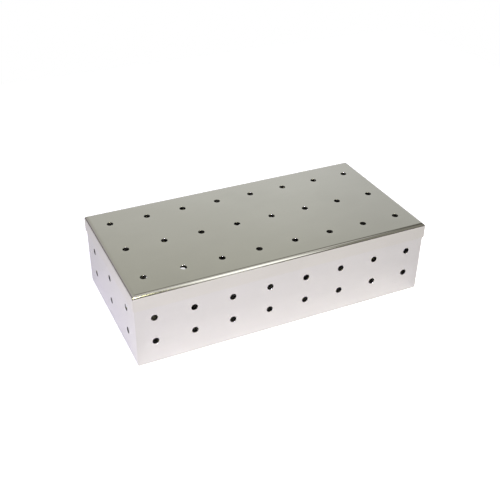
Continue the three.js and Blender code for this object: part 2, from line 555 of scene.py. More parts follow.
@dataclass
class FoldedPan:
    """A shallow or deep pan folded up from one blank, with closed, ground corners.

    It is made the way up that a tray stands, with its outer floor at height zero.

    Attributes:
        name: The object's name.
        body: The body that it rides on.
        length: The outer size along the case.
        width: The outer size across the case.
        height: The outer height, from the floor to the rim.
        bend_radius: The folds' outer radius.
        sheet: The sheet's thickness.
        along_row: The holes along the floor and the long walls.
        end_row: The holes along the short walls.
        floor_rows: The rows of holes across the floor.
        pitch_up: How far apart the rows up a wall are.
        rows_up: How many rows of holes a wall has.
        corner_radius: The upright corners' outer radius.
        inner_corner_radius: Their inner radius.
        rim_radius: The radius of the rim's two edges.
        nick_radius: The rounding of the blank beside each upright corner, at the rim.
        nick_soft: How far down from the rim the nick is felt, in nick radii.
        nick_round: How much nearer its wall's end the middle of an upright corner counts, in corner radii, which
            deepens the nick there.
        flare: How far the walls lean out, in radians.
        margin: The width of the narrow strip beside each upright corner.
        facing: Which way the opening faces.
        top: The height of the pan's outer floor where the opening faces down.
        floor_ripple: The height of the floor's unevenness.
        wall_ripple: The height of the walls' unevenness.
        fade_width: How far in from a panel's edges its unevenness fades out.
        held_along: How much sheet beyond the last hole of a row isn't stretched.
        held_up: How much sheet above and below a wall's holes isn't stretched.
        seed: Where the unevenness comes from.
        punched: The holes' sizes.
        bend_steps: Steps round a fold.
        corner_steps: Steps round an upright corner.
        margin_steps: Steps across the narrow strip.
        rim_steps: Steps round each edge of the rim.
        plain_rows: The heights of the lines up a wall without holes.
    """

    name: str
    body: str
    length: float
    width: float
    height: float
    bend_radius: float
    sheet: float = 0.5 * MM
    along_row: Row = Row(8, 25 * MM)
    end_row: Row = Row(3, 33 * MM)
    floor_rows: Row = Row(3, 33 * MM)
    pitch_up: float = 17 * MM
    rows_up: int = 0
    corner_radius: float = 0.35 * MM
    inner_corner_radius: float = 0.2 * MM
    rim_radius: float = 0.12 * MM
    nick_radius: float = 0.0
    nick_soft: float = 1.9
    nick_round: float = 0.7
    flare: float = 0.0
    margin: float = 1.3 * MM
    facing: Facing = Facing.UP
    top: float = 0.0
    floor_ripple: float = 0.05 * MM
    wall_ripple: float = 0.04 * MM
    fade_width: float = 9 * MM
    held_along: float = 0.5 * MM
    held_up: float = 1.0 * MM
    seed: int = 1
    punched: Perforation = field(default_factory=Perforation)
    bend_steps: int = 10
    corner_steps: int = 4
    margin_steps: int = 6
    rim_steps: int = 3
    plain_rows: tuple[float, ...] = ()

    def __post_init__(self) -> None:
        """Draws each panel's unevenness."""
        self.bend_run = self.bend_radius * math.pi / 2
        self.blank_end = self.bend_run + self.height - self.bend_radius
        self.floor_waves = Ripple(self.floor_ripple, self.seed)
        self.wall_waves = {side: Ripple(self.wall_ripple, self.seed + 1 + side.value) for side in Side}

    def half(self, side: Side) -> float:
        """Half the flat width of the floor along a side, between its two bends."""
        return (self.length if side.is_long else self.width) / 2 - self.bend_radius

    def bend_start(self, side: Side) -> float:
        """How far a side's bend starts from the middle of the floor."""
        return self.half(Side.RIGHT if side.is_long else Side.FRONT)

    def row(self, side: Side) -> Row:
        """The row of holes along a side."""
        return self.along_row if side.is_long else self.end_row

    def fitted(self, places: Array, row: Row, edge: Array) -> Array:
        """Stretches the outer cells so that the last line of a row's cells comes to an edge.

        Args:
            places: Places along the row, on the even grid.
            row: The row.
            edge: Where the last line should be.

        Returns:
            The fitted places. Nothing moves between the outermost holes.
        """
        keep = row.reach - row.pitch / 2 + self.punched.diameter / 2 + self.held_along
        return stretch_ends(places, keep, row.reach, edge)

    def fitted_up(self, heights: Array) -> Array:
        """Stretches the rows of cells up a wall so that they fill it from its bend to its rim.

        Args:
            heights: Heights on the even grid, about its middle.

        Returns:
            The heights on the wall.
        """
        reach = self.rows_up * self.pitch_up / 2
        keep = reach - self.pitch_up / 2 + self.punched.diameter / 2 + self.held_up
        middle = self.height / 2
        low, high = middle - self.bend_radius, self.height - self.rim_radius - middle
        return middle + stretch_ends(heights, keep, reach, np.where(heights < 0, low, high))

    def outward(self, run: Array, depth: Array) -> tuple[Array, Array]:
        """Finds where the fold takes a point of the blank.

        Args:
            run: The distance up the blank from the bend's start.
            depth: The depth into the sheet.

        Returns:
            The distance out from the bend's start, and the height.
        """
        angle = np.clip(run / self.bend_radius, 0.0, math.pi / 2)
        out = (self.bend_radius - depth) * np.sin(angle) + np.minimum(run, 0.0)
        up = self.bend_radius - (self.bend_radius - depth) * np.cos(angle)
        straight = np.maximum(run - self.bend_run, 0.0)
        return out + straight * self.flare, up + straight

    def corner(self, run: Array, depth: Array) -> Array:
        """Finds the radius of the upright corner at a point of the fold.

        Args:
            run: The distance up the blank from the bend's start.
            depth: The depth into the sheet.

        Returns:
            The radius, which grows from nothing round the bend.
        """
        angle = np.clip(run / self.bend_radius, 0.0, math.pi / 2)
        share = depth / self.sheet
        return (self.corner_radius * (1 - share) + self.inner_corner_radius * share) * np.sin(angle)

    def edge(self, side: Side, run: Array, depth: Array) -> Array:
        """Half the width of a wall between its upright corners' roundings."""
        return self.half(side) + self.outward(run, depth)[0] - self.corner(run, depth)

    def nick(self, run: Array, from_end: Array) -> Array:
        """How far the free edge drops beside a corner, where its blank has a rounded corner.

        Args:
            run: The distance up the blank.
            from_end: The distance from the end of the wall.

        Returns:
            The drop.
        """
        if self.nick_radius <= 0:
            return np.zeros(np.broadcast(run, from_end).shape)
        soft = self.blank_end - self.nick_soft * self.nick_radius
        inside = np.clip(self.nick_radius - from_end, 0.0, self.nick_radius)
        fall = self.nick_radius - np.sqrt(self.nick_radius**2 - inside**2)
        return fall * np.clip((run - soft) / (self.blank_end - soft), 0.0, None)

    def window(self, *distances: Array) -> Array:
        """Fades a panel's unevenness out towards its edges.

        Args:
            *distances: The distances from some of its edges.

        Returns:
            0 at an edge, and 1 well inside them all.
        """
        total = 1.0
        for distance in distances:
            total = total * smooth_step(distance / self.fade_width)
        return total

    def on_wall(self, side: Side, along: Array, run: Array, depth: Array) -> Array:
        """Folds points of a wall's blank into place.

        Args:
            side: The wall.
            along: Places along the wall.
            run: Distances up the blank from the bend's start.
            depth: Depths into the sheet.

        Returns:
            The points, as an array whose last axis is x, y and z.
        """
        out, up = self.outward(run, depth)
        wide = self.half(side) + self.bend_radius
        waves = self.wall_waves[side].at(along, up)
        fade = self.window(wide - np.abs(along), up - self.bend_radius, self.height - up)
        out = out + waves * fade
        x, y = side.turned(along, -(self.bend_start(side) + out))
        return np.stack(np.broadcast_arrays(x, y, up), -1)

    def on_floor(self, x: Array, y: Array, depth: Array) -> Array:
        """Puts points of the floor's blank in place, with the floor's unevenness.

        Args:
            x: The points' x.
            y: The points' y.
            depth: Depths into the sheet.

        Returns:
            The points, as an array whose last axis is x, y and z.
        """
        ends = [self.half(side) - self.margin for side in (Side.FRONT, Side.RIGHT)]
        fade = self.window(ends[0] - np.abs(x), ends[1] - np.abs(y))
        up = depth + self.floor_waves.at(x, y) * fade
        return np.stack(np.broadcast_arrays(x, y, up), -1)

    def blank_of(self, side: Side, along: Array, run: Array) -> Array:
        """A point's place on the flat blank, from its place along a wall and its distance up the blank."""
        return np.stack(np.broadcast_arrays(*side.turned(along, -(self.bend_start(side) + run))), -1)

    def hole_levels(self) -> Array:
        """Finds the heights of the lines of the grid of cells up a wall.

        Returns:
            The heights, from the bend to the rim.
        """
        steps = self.rows_up * self.punched.steps_per_side
        reach = self.rows_up * self.pitch_up / 2
        return self.fitted_up(np.linspace(-reach, reach, steps + 1))

    def lines(self) -> list[Line]:
        """Lists every line round the pan.

        Returns:
            The lines, from the outer floor over the rim to the inner floor.
        """
        quarter = math.pi / 2
        skin: list[Line] = [Line(share * self.margin - self.margin, 0, share * self.margin) for share in (0, 0.5, 1)]
        for step in range(1, self.bend_steps + 1):
            angle = quarter * step / self.bend_steps
            skin.append(Line(self.bend_radius * angle, 0, self.margin, math.sin(2 * angle)))
        if self.rows_up:
            skin[-1].beside_holes = True
            rise = self.hole_levels()[1:] - self.bend_radius
            skin += [Line(self.bend_run + up, 0, self.margin, 0.0, True) for up in rise]
        else:
            levels = (*self.plain_rows, self.height - self.rim_radius)
            skin += [Line(self.bend_run + up - self.bend_radius, 0, self.margin) for up in levels]
        rim = []
        for step in range(1, self.rim_steps + 1):
            angle = quarter * step / self.rim_steps
            run = self.blank_end - self.rim_radius * (1 - math.sin(angle))
            rim.append(Line(run, self.rim_radius * (1 - math.cos(angle)), self.margin, 1.0))
        back = [Line(p.run, self.sheet - p.depth, p.margin, p.wear) for p in reversed(rim)]
        inner = [Line(p.run, self.sheet, p.margin, p.wear, p.beside_holes) for p in reversed(skin)]
        return skin + rim + back + inner

    def along_line(self, side: Side, line: Line) -> Array:
        """Finds the places along a wall on one line round the pan.

        Args:
            side: The wall.
            line: The line.

        Returns:
            The places, which are closer together beside the upright corners.
        """
        row = self.row(side)
        even = row.lines(self.punched.steps_per_side)
        inner = float(self.edge(side, line.run, line.depth)) - line.margin
        steps = np.sin(np.linspace(0, math.pi / 2, self.margin_steps + 1)[1:])
        ends = inner + line.margin * steps
        return np.concatenate([-ends[::-1], self.fitted(even, row, inner), ends])

    def wall_patch(self, side: Side, lines: list[Line]) -> Patch:
        """The plain sheet of one wall, with its bend and its rim, less the place of its perforated panel.

        Args:
            side: The wall.
            lines: Every line round the pan.

        Returns:
            The patch.
        """
        along = np.array([self.along_line(side, line) for line in lines])
        run, depth, wear = (np.array([getattr(line, name) for line in lines])[:, None] + np.zeros(along.shape)
                            for name in ("run", "depth", "wear"))
        points = self.on_wall(side, along, run, depth)
        points[..., 2] -= self.nick(run, self.half(side) + self.bend_radius - np.abs(along))
        beside = np.array([line.beside_holes for line in lines])
        left_out = beside[:-1] & beside[1:]
        left_out[[0, -1]] = True
        kept = np.ones((along.shape[0] - 1, along.shape[1] - 1), bool)
        kept[:, self.margin_steps:-self.margin_steps] = ~left_out[:, None]
        return Patch.from_rows(points, self.blank_of(side, along, run), wear, depth / self.sheet, kept)

    def joining_patch(self, side: Side, outer: Line, inner: Line) -> Patch:
        """The strip that joins the floor's perforated panel to a wall whose row has another number of holes.

        Args:
            side: The wall.
            outer: The line round the panel.
            inner: The next line, towards the wall.

        Returns:
            The patch.
        """
        floor_row = self.along_row if side.is_long else self.floor_rows
        even = floor_row.lines(self.punched.steps_per_side)
        wall = self.along_line(side, inner)[self.margin_steps:-self.margin_steps]
        shared = np.round(np.linspace(0, len(wall) - 1, len(even))).astype(int)
        edge = float(self.edge(side, outer.run, outer.depth))
        along = np.array([self.fitted(even, floor_row, edge), wall[shared]])
        run = np.array([[outer.run], [inner.run]]) + np.zeros(along.shape)
        depth = outer.depth + np.zeros(along.shape)
        points = self.on_wall(side, along, run, depth)
        return Patch.from_rows(points, self.blank_of(side, along, run), np.zeros(along.shape), depth / self.sheet)

    def corner_patch(self, side: Side, lines: list[Line]) -> Patch:
        """The rounded upright corner at the far end of a wall, with its mitred bend and its rim.

        Args:
            side: The wall that the corner follows.
            lines: Every line round the pan.

        Returns:
            The patch.
        """
        run, depth, wear = (np.array([[getattr(line, name)] for line in lines]) for name in ("run", "depth", "wear"))
        turn = np.linspace(0, math.pi / 2, self.corner_steps + 1)[None, :]
        out, up = self.outward(run, depth)
        radius = self.corner(run, depth)
        along = self.half(side) + out - radius
        across = self.bend_start(side) + out - radius
        from_end = self.bend_radius - out + radius * (1 - self.nick_round * np.sin(2 * turn))
        x, y = side.turned(along + radius * np.sin(turn), -(across + radius * np.cos(turn)))
        up = up - self.nick(run + 0 * turn, from_end)
        worn = np.maximum(wear, np.clip(run / self.bend_run, 0.0, 1.0)) + 0 * turn
        inside = depth / self.sheet + 0 * turn
        return Patch.from_rows(np.stack([x, y, up], -1), self.blank_of(side, along + radius * turn, run), worn, inside)

    def floor_panel(self, panels: PanelTree, finish: bpy.types.Material) -> Patch:
        """Makes the floor's perforated sheet, fitted inside its four bends.

        Args:
            panels: The tree that makes the perforated panels.
            finish: The pan's material.

        Returns:
            The patch.
        """
        along, across = self.along_row, self.floor_rows
        cell = (along.pitch, across.pitch)
        flat = panels.panel(along.count, across.count, cell, self.punched, self.sheet, finish)
        x = self.fitted(flat.points[:, 0], along, self.half(Side.FRONT) - self.margin)
        y = self.fitted(flat.points[:, 1], across, self.half(Side.RIGHT) - self.margin)
        points = self.on_floor(x, y, -flat.points[:, 2])
        return Patch(points, np.stack([x, y], -1), flat.wear, flat.inside, flat.faces)

    def wall_panel(self, side: Side, panels: PanelTree, finish: bpy.types.Material) -> Patch:
        """Makes one wall's perforated sheet, fitted between its upright corners, its bend and its rim.

        Args:
            side: The wall.
            panels: The tree that makes the perforated panels.
            finish: The pan's material.

        Returns:
            The patch.
        """
        row = self.row(side)
        flat = panels.panel(row.count, self.rows_up, (row.pitch, self.pitch_up), self.punched, self.sheet, finish)
        depth = -flat.points[:, 2]
        run = self.bend_run + self.fitted_up(flat.points[:, 1]) - self.bend_radius
        within = np.clip(depth, 0.0, self.sheet)
        edge = self.edge(side, run, within) - self.margin
        along = self.fitted(flat.points[:, 0], row, edge)
        points = self.on_wall(side, along, run, depth)
        return Patch(points, self.blank_of(side, along, run), flat.wear, flat.inside, flat.faces)

    def placed(self, points: Array) -> Array:
        """Turns the pan the way up that it is used.

        Args:
            points: Its points, as a tray stands.

        Returns:
            The points as the pan is used.
        """
        if self.facing is Facing.UP:
            return points
        return np.stack([points[:, 0], -points[:, 1], self.top - points[:, 2]], -1)

    def build(self, panels: PanelTree, finish: bpy.types.Material) -> bpy.types.Object:
        """Builds the pan as one closed mesh.

        Args:
            panels: The tree that makes the perforated panels.
            finish: The pan's material.

        Returns:
            The finished object, at the origin.
        """
        lines = self.lines()
        patches = [self.floor_panel(panels, finish)]
        for side in Side:
            patches += [self.wall_patch(side, lines), self.corner_patch(side, lines)]
            patches += [self.joining_patch(side, *pair) for pair in (lines[:2], lines[:-3:-1])]
            if self.rows_up:
                patches.append(self.wall_panel(side, panels, finish))
        for patch in patches:
            patch.points = self.placed(patch.points)
        return weld(self.name, patches, finish)


def weld(name: str, patches: Sequence[Patch], finish: bpy.types.Material) -> bpy.types.Object:
    """Joins patches into one closed object whose flat sheet stays flat and whose folds shade smoothly.

    Args:
        name: The object's name.
        patches: The patches, whose edges meet.
        finish: The object's material.

    Returns:
        The object, linked to the scene.
    """
    offsets = np.cumsum([0] + [len(patch.points) for patch in patches])
    faces = np.concatenate([patch.faces + offset for patch, offset in zip(patches, offsets)])
    points, blank, wear, inside = (np.concatenate([getattr(patch, part) for patch in patches])
                                   for part in ("points", "blank", "wear", "inside"))
    mesh = bpy.data.meshes.new(name)
    mesh.from_pydata(points.tolist(), [], faces.tolist())
    uv = mesh.uv_layers.new(name=BLANK_MAP)
    uv.data.foreach_set("uv", blank[faces.ravel()].astype(np.float32).ravel())
    for attribute, values in ((WEAR, wear), (INSIDE, inside)):
        mesh.attributes.new(attribute, "FLOAT", "POINT").data.foreach_set("value", values.astype(np.float32))
    mesh.materials.append(finish)
    work = bmesh.new()
    work.from_mesh(mesh)
    bmesh.ops.remove_doubles(work, verts=work.verts, dist=WELD_DISTANCE)
    bmesh.ops.dissolve_degenerate(work, dist=WELD_DISTANCE / 4, edges=work.edges)
    bmesh.ops.recalc_face_normals(work, faces=work.faces)
    if work.calc_volume(signed=True) < 0:
        bmesh.ops.reverse_faces(work, faces=work.faces)
    open_edges = sum(1 for edge in work.edges if len(edge.link_faces) != 2)
    work.to_mesh(mesh)
    work.free()
    if open_edges:
        LOG.warning("%s has %d edges that don't join two faces", name, open_edges)
    mesh.shade_smooth()
    mesh.normals_split_custom_set_from_vertices(weighted_normals(mesh))
    made = bpy.data.objects.new(name, mesh)
    bpy.context.scene.collection.objects.link(made)
    return made


def weighted_normals(mesh: bpy.types.Mesh) -> list[tuple[float, float, float]]:
    """Finds the mean of the faces' normals around each point, weighted by area, so that broad flats stay flat.

    Args:
        mesh: The mesh.

    Returns:
        One unit vector for each point.
    """
    count = len(mesh.polygons)
    normals, areas = np.empty(count * 3), np.empty(count)
    mesh.polygons.foreach_get("normal", normals)
    mesh.polygons.foreach_get("area", areas)
    corners, totals = np.empty(len(mesh.loops), np.int32), np.empty(count, np.int32)
    mesh.loops.foreach_get("vertex_index", corners)
    mesh.polygons.foreach_get("loop_total", totals)
    weighted = np.repeat(normals.reshape(-1, 3) * areas[:, None], totals, axis=0)
    summed = np.zeros((len(mesh.vertices), 3))
    np.add.at(summed, corners, weighted)
    lengths = np.maximum(np.linalg.norm(summed, axis=1), 1e-20)
    return [tuple(row) for row in summed / lengths[:, None]]


class FinishGroups:
    """The shader node groups that both pieces' finishes share."""

    CLOUD_STRETCH = 0.03  # the clouding's scale across the grain, as a share of the streaks'
    SMUDGE_LEVEL, SMUDGE_SPAN, SMUDGE_EDGE = 0.45, 0.5, 0.22  # where the noise becomes a smudge, and how softly
    HAIRLINE_ANGLES = (0.32, -0.55, 1.2)  # radians from the grain
    HAIRLINE_SCALES = (16.0, 620.0)  # the noise's scale along and across the hairlines
    HAIRLINE_APART = 7.0  # how far apart the hairlines of each angle are read in the noise
    HAIRLINE_WIDTH = 0.012  # how far the noise may be from its middle on a hairline
    BREAK_SCALE, BREAK_FROM, BREAK_TO = 38.0, 0.56, 0.66  # the noise that breaks the hairlines

    def __init__(self) -> None:
        """Builds every group once."""
        self.grain = self._grain()
        self.smudges = self._smudges()
        self.scratches = self._scratches()

    @staticmethod
    def _group(name: str, inputs: Sequence[tuple[str, str, object]], outputs: Sequence[tuple[str, str]]) -> tuple:
        """Starts a group.

        Args:
            name: The group's name.
            inputs: Each input's name, socket type and default.
            outputs: Each output's name and socket type.

        Returns:
            The tree, a writer on it, the group input's sockets and the group output's sockets.
        """
        tree = bpy.data.node_groups.new(name, "ShaderNodeTree")
        for label, kind, default in inputs:
            socket = tree.interface.new_socket(label, in_out="INPUT", socket_type=kind)
            if default is not None:
                socket.default_value = default
        for label, kind in outputs:
            tree.interface.new_socket(label, in_out="OUTPUT", socket_type=kind)
        given = tree.nodes.new("NodeGroupInput").outputs
        taken = tree.nodes.new("NodeGroupOutput").inputs
        return tree, NodeWriter(tree), given, taken

    def _grain(self) -> bpy.types.NodeTree:
        """Builds fine streaks along the direction in which the sheet was rolled.

        Returns:
            The group.
        """
        tree, w, given, taken = self._group(
            "rolled_grain",
            [("Place", "NodeSocketVector", None), ("Length", "NodeSocketFloat", 0.03),
             ("Width", "NodeSocketFloat", 0.0003)],
            [("Streaks", "NodeSocketFloat"), ("Cloud", "NodeSocketFloat")],
        )
        split = w.add("ShaderNodeSeparateXYZ", {0: given["Place"]}).outputs
        along = w.maths("DIVIDE", split[0], given["Length"])
        across = w.maths("DIVIDE", split[1], given["Width"])
        place = w.add("ShaderNodeCombineXYZ", {0: along, 1: across}).outputs[0]
        streaks = w.add("ShaderNodeTexNoise", {"Vector": place, "Scale": 1.0, "Detail": 3.0, "Roughness": 0.65})
        wide = w.add("ShaderNodeCombineXYZ", {0: along, 1: w.maths("MULTIPLY", across, self.CLOUD_STRETCH)}).outputs[0]
        cloud = w.add("ShaderNodeTexNoise", {"Vector": wide, "Scale": 1.0, "Detail": 2.0})
        w.feed(taken["Streaks"], streaks.outputs[0])
        w.feed(taken["Cloud"], cloud.outputs[0])
        return tree

    def _smudges(self) -> bpy.types.NodeTree:
        """Builds soft marks left by wiping and handling.

        Returns:
            The group.
        """
        tree, w, given, taken = self._group(
            "wiped_smudges",
            [("Place", "NodeSocketVector", None), ("Size", "NodeSocketFloat", 0.04), ("Cover", "NodeSocketFloat", 0.5)],
            [("Mask", "NodeSocketFloat")],
        )
        scale = w.maths("DIVIDE", 1.0, given["Size"])
        noise = {"Vector": given["Place"], "Scale": scale, "Detail": 5.0, "Roughness": 0.55, "Distortion": 0.8}
        broad = w.add("ShaderNodeTexNoise", noise).outputs[0]
        bare = w.maths("MULTIPLY", w.maths("SUBTRACT", 1.0, given["Cover"]), self.SMUDGE_SPAN)
        high = w.maths("ADD", bare, self.SMUDGE_LEVEL)
        w.feed(taken["Mask"], w.ramp(broad, w.maths("SUBTRACT", high, self.SMUDGE_EDGE), high))
        return tree

    def _scratches(self) -> bpy.types.NodeTree:
        """Builds thin, broken hairlines at a few angles.

        Returns:
            The group.
        """
        tree, w, given, taken = self._group(
            "hairline_scratches",
            [("Place", "NodeSocketVector", None), ("Amount", "NodeSocketFloat", 0.5)],
            [("Mask", "NodeSocketFloat")],
        )
        total: Optional[bpy.types.NodeSocket] = None
        for number, angle in enumerate(self.HAIRLINE_ANGLES):
            turned = w.add("ShaderNodeVectorRotate", {"Vector": given["Place"], "Angle": angle}, rotation_type="Z_AXIS")
            split = w.add("ShaderNodeSeparateXYZ", {0: turned.outputs[0]}).outputs
            along = w.maths("MULTIPLY", split[0], self.HAIRLINE_SCALES[0])
            across = w.maths("MULTIPLY_ADD", split[1], self.HAIRLINE_SCALES[1], self.HAIRLINE_APART * number)
            place = w.add("ShaderNodeCombineXYZ", {0: along, 1: across}).outputs[0]
            noise = w.add("ShaderNodeTexNoise", {"Vector": place, "Scale": 1.0, "Detail": 1.0}).outputs[0]
            line = w.ramp(w.maths("ABSOLUTE", w.maths("SUBTRACT", noise, 0.5)), self.HAIRLINE_WIDTH, 0.0)
            breaks = {"Vector": turned.outputs[0], "Scale": self.BREAK_SCALE, "Detail": 2.0}
            gate = w.ramp(w.add("ShaderNodeTexNoise", breaks).outputs[0], self.BREAK_FROM, self.BREAK_TO)
            mark = w.maths("MULTIPLY", line, gate)
            total = mark if total is None else w.maths("MAXIMUM", total, mark)
        w.feed(taken["Mask"], w.maths("MULTIPLY", total, given["Amount"]))
        return tree


@dataclass(frozen=True)
class BrightSteel:
    """Rolled stainless sheet with a soft mirror finish.

    Attributes:
        name: The material's name.
        colour: The bare metal's colour.
        streaked: How far the grain's streaks change its brightness.
        clouded: How far the clouding does.
        smudge_tone: How much darker smudges are.
        worn_tone: How much brighter worn edges are.
        roughness: The flat sheet's roughness.
        smudged: How far smudges roughen it.
        streak_rough: How far the streaks do.
        scratched: How strong the hairlines are.
        scratch_rough: How far they roughen it.
        scratch_depth: How deep they are, in heights of the grain.
        polished: How far worn edges are smoother.
        grain_height: The height of the rolled grain.
        dulled: How much rougher the inner face is than the outer.
        inner_tone: The inner face's brightness, as a share of the outer's.
        cut_shade_tone: The brightness of the holes' cut walls, as a share of the inner face's, a painted shade that
            makes the holes read dark.
        torn: How much rougher the cut walls are than the inner face.
    """

    name: str
    colour: tuple[float, float, float] = (0.66, 0.65, 0.63)
    streaked: float = 0.06
    clouded: float = 0.05
    smudge_tone: float = 0.012
    worn_tone: float = 0.03
    roughness: float = 0.1
    smudged: float = 0.03
    streak_rough: float = 0.03
    scratched: float = 0.25
    scratch_rough: float = 0.06
    scratch_depth: float = 1.2
    polished: float = 0.02
    grain_height: float = 0.0000004
    dulled: float = 0.22
    inner_tone: float = 0.9
    cut_shade_tone: float = 0.12
    torn: float = 0.4

    def make(self, groups: FinishGroups) -> bpy.types.Material:
        """Builds the material.

        Args:
            groups: The shared node groups.

        Returns:
            The material.
        """
        made = bpy.data.materials.new(self.name)
        made.use_nodes = True
        made.node_tree.nodes.clear()
        w = NodeWriter(made.node_tree)
        place = w.add("ShaderNodeUVMap", uv_map=BLANK_MAP).outputs[0]
        worn = w.add("ShaderNodeAttribute", attribute_name=WEAR).outputs["Fac"]
        within = w.add("ShaderNodeAttribute", attribute_name=INSIDE).outputs["Fac"]
        inner, cut = w.maths("MINIMUM", within, 1.0), w.maths("SUBTRACT", within, 1.0, clamp=True)
        grain = w.add("ShaderNodeGroup", node_tree=groups.grain)
        smudges = w.add("ShaderNodeGroup", node_tree=groups.smudges)
        scratches = w.add("ShaderNodeGroup", node_tree=groups.scratches)
        for node in (grain, smudges, scratches):
            w.feed(node.inputs["Place"], place)
        w.feed(scratches.inputs["Amount"], self.scratched)
        streaks, cloud = grain.outputs["Streaks"], grain.outputs["Cloud"]
        smudge, scratch = smudges.outputs[0], scratches.outputs[0]

        darker = w.maths("MULTIPLY", w.maths("SUBTRACT", cloud, 0.5), self.clouded)
        tone = w.maths("ADD", w.maths("MULTIPLY", w.maths("SUBTRACT", streaks, 0.5), self.streaked), darker)
        tone = w.maths("SUBTRACT", w.maths("ADD", tone, 1.0), w.maths("MULTIPLY", smudge, self.smudge_tone))
        tone = w.maths("MULTIPLY_ADD", worn, self.worn_tone, tone)
        tone = w.maths("MULTIPLY", tone, w.maths("MULTIPLY_ADD", inner, self.inner_tone - 1.0, 1.0))
        # The holes' cut walls are darkened far below the bare metal: painted shade that makes the holes read dark.
        tone = w.maths("MULTIPLY", tone, w.maths("MULTIPLY_ADD", cut, self.cut_shade_tone - 1.0, 1.0))
        bright = w.add("ShaderNodeVectorMath", {0: self.colour}, operation="SCALE")
        w.feed(bright.inputs["Scale"], tone)

        rough = w.maths("MULTIPLY_ADD", smudge, self.smudged, self.roughness)
        rough = w.maths("MULTIPLY_ADD", w.maths("SUBTRACT", streaks, 0.5), self.streak_rough, rough)
        rough = w.maths("MULTIPLY_ADD", scratch, self.scratch_rough, rough)
        rough = w.maths("MULTIPLY_ADD", worn, -self.polished, rough)
        rough = w.maths("MULTIPLY_ADD", inner, self.dulled, rough)
        rough = w.maths("MULTIPLY_ADD", cut, self.torn, rough)

        height = w.maths("MULTIPLY_ADD", scratch, -self.scratch_depth, streaks)
        bump = w.add("ShaderNodeBump", {"Strength": 1.0, "Distance": self.grain_height, "Height": height})

        surface = {"Base Color": bright.outputs[0], "Metallic": 1.0, "Roughness": rough}
        shader = w.add("ShaderNodeBsdfPrincipled", surface)
        w.feed(shader.inputs["Normal"], bump.outputs[0])
        end = w.add("ShaderNodeOutputMaterial")
        w.feed(end.inputs["Surface"], shader.outputs[0])
        return made


def direction(azimuth: float, elevation: float) -> Vector:
    """Turns a direction from the case into a vector.

    Args:
        azimuth: Degrees from the back, +Y, towards the right, +X.
        elevation: Degrees above the floor.

    Returns:
        The unit vector.
    """
    around, above = math.radians(azimuth), math.radians(elevation)
    return Vector((math.sin(around) * math.cos(above), math.cos(around) * math.cos(above), math.sin(above)))


@dataclass(frozen=True)
class SoftLamp:
    """A soft area lamp that shines at the case.

    Attributes:
        name: The lamp's name.
        azimuth: Degrees from the back, +Y, towards the right, +X.
        elevation: Degrees above the floor.
        distance: How far the lamp is from the case.
        size: The lamp's width and height.
        watts: Its power.
        colour: Its colour.
    """

    name: str
    azimuth: float
    elevation: float
    distance: float
    size: tuple[float, float]
    watts: float
    colour: tuple[float, float, float] = (1.0, 1.0, 1.0)

    def make(self, target: Vector) -> bpy.types.Object:
        """Adds the lamp to the scene.

        Args:
            target: The point that the lamp faces.

        Returns:
            The lamp.
        """
        data = bpy.data.lights.new(self.name, "AREA")
        data.shape = "RECTANGLE"
        data.size, data.size_y = self.size
        data.energy = self.watts
        data.color = self.colour
        lamp = bpy.data.objects.new(self.name, data)
        away = direction(self.azimuth, self.elevation)
        lamp.location = target + away * self.distance
        lamp.rotation_mode = "QUATERNION"
        lamp.rotation_quaternion = away.to_track_quat("Z", "Y")
        bpy.context.scene.collection.objects.link(lamp)
        return lamp


class Shade(Enum):
    """The tent's colours, as the metal mirrors them."""

    RIGHT = (0.104, 0.096, 0.085, 1.0)
    FRONT = (0.285, 0.283, 0.243, 1.0)
    FRONT_LOW = (0.207, 0.194, 0.178, 1.0)
    GLOW = (0.746, 0.733, 0.719, 1.0)
    OVERHEAD = (0.651, 0.644, 0.608, 1.0)
    STRIP = (1.658, 1.675, 1.629, 1.0)
    LEFT = (0.477, 0.466, 0.455, 1.0)
    LEFT_LOW = (0.170, 0.150, 0.160, 1.0)
    BACK = (0.760, 0.772, 0.760, 1.0)
    BACK_HIGH = (0.535, 0.540, 0.484, 1.0)


class Turn(Enum):
    """The degrees of azimuth or elevation from which, and to which, the tent changes from one colour to the next."""

    RIGHT_TO_FRONT = (95.0, 135.0)
    FRONT_DOWN = (34.0, 12.0)
    FRONT_LOW_STARTS = (90.0, 110.0)
    TO_OVERHEAD = (53.4, 61.5)
    LEFT_DOWN = (14.0, 4.0)
    LEFT_TO_BACK = (-16.0, 24.0)
    BACK_DOWN = (38.0, 24.0)
    BACK_DIMS = (28.0, 42.0)
    BACK_ENDS = (100.0, 60.0)
    BACK_TOP = (45.5, 37.7)


